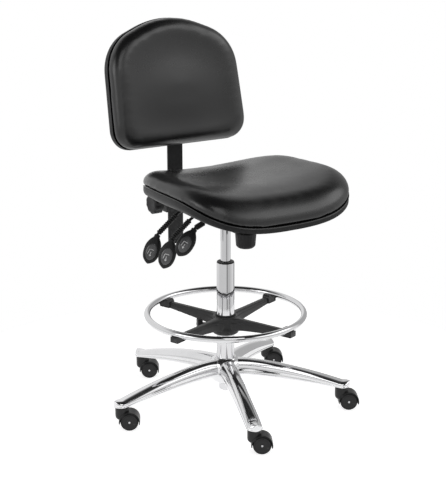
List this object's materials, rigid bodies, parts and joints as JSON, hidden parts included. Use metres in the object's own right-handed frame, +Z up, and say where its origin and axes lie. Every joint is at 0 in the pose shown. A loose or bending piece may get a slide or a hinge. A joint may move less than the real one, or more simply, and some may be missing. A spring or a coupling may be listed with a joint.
{
  "type": "drafting chair",
  "caption": "Armless drafting chair with a domed backrest, saddle-shaped seat, paddle levers, gas lift, adjustable chrome footring and a polished five-arm base on twin-wheel casters.",
  "frame": {"origin": "on the floor, below the middle of the bounding box of the chair at rest", "axes": "+Z up; the front edge of the seat faces -Y and the sitter's right is -X"},
  "size_m": [0.6758, 0.6974, 1.0722],
  "materials": {
    "polished_aluminium": "polished",
    "chrome": "bright chrome",
    "bright_steel": "zinc plated",
    "black_powder_coat": "satin black powder coat",
    "black_plastic": "fine-grained black",
    "caster_nylon": "satin black nylon",
    "black_rubber": "dull black",
    "black_vinyl": "glossy smooth vinyl"
  },
  "bodies": {
    "base": {"base_star": "polished_aluminium", "stem_1": "bright_steel", "stem_2": "bright_steel", "stem_3": "bright_steel", "stem_4": "bright_steel", "stem_5": "bright_steel", "column_tube": "chrome", "guide_bush": "black_plastic", "thrust_bearing": "bright_steel"},
    "caster_1": {"hood_1": "caster_nylon", "axle_1": "bright_steel"},
    "wheel_1_left": {"wheel_1_left": "caster_nylon"},
    "wheel_1_right": {"wheel_1_right": "caster_nylon"},
    "caster_2": {"hood_2": "caster_nylon", "axle_2": "bright_steel"},
    "wheel_2_left": {"wheel_2_left": "caster_nylon"},
    "wheel_2_right": {"wheel_2_right": "caster_nylon"},
    "caster_3": {"hood_3": "caster_nylon", "axle_3": "bright_steel"},
    "wheel_3_left": {"wheel_3_left": "caster_nylon"},
    "wheel_3_right": {"wheel_3_right": "caster_nylon"},
    "caster_4": {"hood_4": "caster_nylon", "axle_4": "bright_steel"},
    "wheel_4_left": {"wheel_4_left": "caster_nylon"},
    "wheel_4_right": {"wheel_4_right": "caster_nylon"},
    "caster_5": {"hood_5": "caster_nylon", "axle_5": "bright_steel"},
    "wheel_5_left": {"wheel_5_left": "caster_nylon"},
    "wheel_5_right": {"wheel_5_right": "caster_nylon"},
    "footring_collar": {"footring_collar": "black_plastic"},
    "footring": {"footring_spider": "black_plastic", "footring_tube": "chrome"},
    "footring_knob": {"footring_knob": "black_plastic"},
    "spindle": {"piston_rod": "bright_steel", "rod_clip": "bright_steel"},
    "lift": {"gas_cylinder": "chrome", "control_housing": "black_powder_coat", "tilt_shaft": "bright_steel", "back_shaft": "bright_steel", "tilt_spring": "bright_steel"},
    "valve": {"valve_button": "bright_steel"},
    "seat": {"seat_plate": "black_powder_coat", "seat_pan": "black_plastic", "seat_cushion": "black_vinyl"},
    "back_arm": {"back_bracket": "black_powder_coat"},
    "height_knob": {"height_knob": "black_plastic"},
    "backrest": {"upright_bar": "black_powder_coat", "back_mount": "black_powder_coat", "back_shell": "black_plastic", "back_cushion": "black_vinyl"},
    "tension_knob": {"tension_knob": "black_plastic"},
    "back_lever": {"back_rod": "black_powder_coat", "back_sleeve": "black_rubber", "back_paddle": "black_plastic"},
    "height_lever": {"height_rod": "black_powder_coat", "height_sleeve": "black_rubber", "height_paddle": "black_plastic"},
    "tilt_lever": {"tilt_rod": "black_powder_coat", "tilt_sleeve": "black_rubber", "tilt_paddle": "black_plastic"}
  },
  "joints": [
    {"name": "caster_1_swivel", "type": "hinge", "parent": "base", "child": "caster_1", "pos_m": [-0.31512, 0.01279, 0.06], "axis": [0, 0, 1], "continuous": true},
    {"name": "wheel_1_left_spin", "type": "hinge", "parent": "caster_1", "child": "wheel_1_left", "pos_m": [-0.29798, 0.00249, 0.02469], "axis": [0.515, 0.8572, 0], "continuous": true},
    {"name": "wheel_1_right_spin", "type": "hinge", "parent": "caster_1", "child": "wheel_1_right", "pos_m": [-0.29798, 0.00249, 0.02469], "axis": [0.515, 0.8572, 0], "continuous": true},
    {"name": "caster_2_swivel", "type": "hinge", "parent": "base", "child": "caster_2", "pos_m": [-0.0974, -0.30758, 0.06], "axis": [0, 0, 1], "continuous": true},
    {"name": "wheel_2_left_spin", "type": "hinge", "parent": "caster_2", "child": "wheel_2_left", "pos_m": [-0.08026, -0.31788, 0.02469], "axis": [0.515, 0.8572, 0], "continuous": true},
    {"name": "wheel_2_right_spin", "type": "hinge", "parent": "caster_2", "child": "wheel_2_right", "pos_m": [-0.08026, -0.31788, 0.02469], "axis": [0.515, 0.8572, 0], "continuous": true},
    {"name": "caster_3_swivel", "type": "hinge", "parent": "base", "child": "caster_3", "pos_m": [0.27457, -0.19951, 0.06], "axis": [0, 0, 1], "continuous": true},
    {"name": "wheel_3_left_spin", "type": "hinge", "parent": "caster_3", "child": "wheel_3_left", "pos_m": [0.29171, -0.20982, 0.02469], "axis": [0.515, 0.8572, 0], "continuous": true},
    {"name": "wheel_3_right_spin", "type": "hinge", "parent": "caster_3", "child": "wheel_3_right", "pos_m": [0.29171, -0.20982, 0.02469], "axis": [0.515, 0.8572, 0], "continuous": true},
    {"name": "caster_4_swivel", "type": "hinge", "parent": "base", "child": "caster_4", "pos_m": [0.28674, 0.18764, 0.06], "axis": [0, 0, 1], "continuous": true},
    {"name": "wheel_4_left_spin", "type": "hinge", "parent": "caster_4", "child": "wheel_4_left", "pos_m": [0.30388, 0.17734, 0.02469], "axis": [0.515, 0.8572, 0], "continuous": true},
    {"name": "wheel_4_right_spin", "type": "hinge", "parent": "caster_4", "child": "wheel_4_right", "pos_m": [0.30388, 0.17734, 0.02469], "axis": [0.515, 0.8572, 0], "continuous": true},
    {"name": "caster_5_swivel", "type": "hinge", "parent": "base", "child": "caster_5", "pos_m": [-0.07771, 0.31885, 0.06], "axis": [0, 0, 1], "continuous": true},
    {"name": "wheel_5_left_spin", "type": "hinge", "parent": "caster_5", "child": "wheel_5_left", "pos_m": [-0.06057, 0.30855, 0.02469], "axis": [0.515, 0.8572, 0], "continuous": true},
    {"name": "wheel_5_right_spin", "type": "hinge", "parent": "caster_5", "child": "wheel_5_right", "pos_m": [-0.06057, 0.30855, 0.02469], "axis": [0.515, 0.8572, 0], "continuous": true},
    {"name": "footring_height", "type": "slide", "parent": "base", "child": "footring_collar", "axis": [0, 0, 1], "range_m": [-0.05, 0.12]},
    {"name": "footring_turn", "type": "hinge", "parent": "footring_collar", "child": "footring", "pos_m": [0.01421, 0.00244, 0.247], "axis": [0, 0, 1], "continuous": true},
    {"name": "footring_clamp", "type": "hinge", "parent": "footring", "child": "footring_knob", "pos_m": [0.01421, 0.00244, 0.247], "axis": [-0.9205, 0.3907, 0], "range_deg": [0, 360]},
    {"name": "seat_swivel", "type": "hinge", "parent": "base", "child": "spindle", "pos_m": [0.01421, 0.00244, 0.4], "axis": [0, 0, 1], "continuous": true},
    {"name": "seat_lift", "type": "slide", "parent": "spindle", "child": "lift", "axis": [0, 0, 1], "range_m": [-0.085, 0.165]},
    {"name": "valve_press", "type": "slide", "parent": "lift", "child": "valve", "axis": [0, 0, -1], "range_m": [0, 0.0036]},
    {"name": "seat_tilt", "type": "hinge", "parent": "lift", "child": "seat", "pos_m": [0.01421, -0.03256, 0.5745], "axis": [-1, 0, 0], "range_deg": [-3, 4]},
    {"name": "back_angle", "type": "hinge", "parent": "lift", "child": "back_arm", "pos_m": [0.01421, 0.10044, 0.562], "axis": [-1, 0, 0], "range_deg": [-4, 18]},
    {"name": "back_height", "type": "slide", "parent": "back_arm", "child": "backrest", "axis": [0, 0, 1], "range_m": [-0.03, 0.06]},
    {"name": "height_clamp", "type": "hinge", "parent": "back_arm", "child": "height_knob", "pos_m": [0.01421, 0.27094, 0.545], "axis": [-1, 0, 0], "range_deg": [0, 360]},
    {"name": "tension_turn", "type": "hinge", "parent": "lift", "child": "tension_knob", "pos_m": [0.01421, -0.09756, 0.52], "axis": [0, 0, 1], "range_deg": [-360, 360]},
    {"name": "height_lever_lift", "type": "hinge", "parent": "lift", "child": "height_lever", "pos_m": [-0.02954, 0.00244, 0.572], "axis": [0, 1, 0], "range_deg": [0, 5], "stiffness_Nm_per_rad": 3, "springref_deg": -20.05},
    {"name": "back_lever_lift", "type": "hinge", "parent": "lift", "child": "back_lever", "pos_m": [-0.02954, 0.07244, 0.572], "axis": [0, 1, 0], "range_deg": [0, 8], "stiffness_Nm_per_rad": 3, "springref_deg": -20.05},
    {"name": "tilt_lever_lift", "type": "hinge", "parent": "lift", "child": "tilt_lever", "pos_m": [-0.02954, -0.06256, 0.572], "axis": [0, 1, 0], "range_deg": [0, 8], "stiffness_Nm_per_rad": 3, "springref_deg": -20.05}
  ],
  "couplings": [
    {"joint": "valve_press", "follows": "height_lever_lift", "m_per_rad": 0.04}
  ]
}
